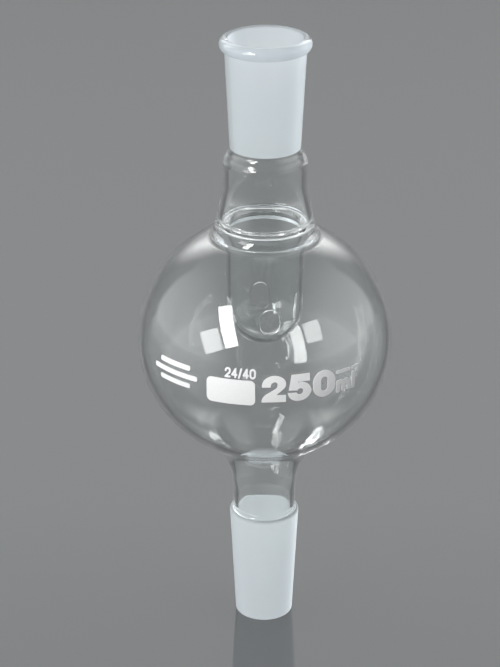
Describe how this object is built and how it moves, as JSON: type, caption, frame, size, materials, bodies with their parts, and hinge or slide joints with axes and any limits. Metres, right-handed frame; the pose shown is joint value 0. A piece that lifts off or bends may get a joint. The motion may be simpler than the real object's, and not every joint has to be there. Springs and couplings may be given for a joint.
{
  "type": "splash head",
  "caption": "Glass splash head for a rotary evaporator: a round 250 ml bulb with a closed vented inner tube, between a 24/40 ground socket on top and a 24/40 ground cone below.",
  "frame": {"origin": "on the axis, in the plane of the ground cone's open lower end", "axes": "+Z along the axis, up to the ground socket; the enamel print faces -Y"},
  "size_m": [0.086, 0.0862, 0.2119],
  "materials": {
    "clear_glass": "clear, fire-polished",
    "ground_glass": "finely ground, frosted white",
    "white_enamel": "fired white print"
  },
  "bodies": {
    "root": {"ground_cone": "ground_glass", "lower_neck": "clear_glass", "bulb_outlet": "clear_glass", "bulb_lower": "clear_glass", "bulb_upper": "clear_glass", "ring_seal": "clear_glass", "inner_tube": "clear_glass", "upper_neck": "clear_glass", "ground_socket": "ground_glass", "socket_rim": "clear_glass", "marking_spot": "white_enamel", "joint_size_mark": "white_enamel", "capacity_mark": "white_enamel", "maker_bars": "white_enamel", "grade_dashes": "white_enamel"}
  },
  "joints": []
}
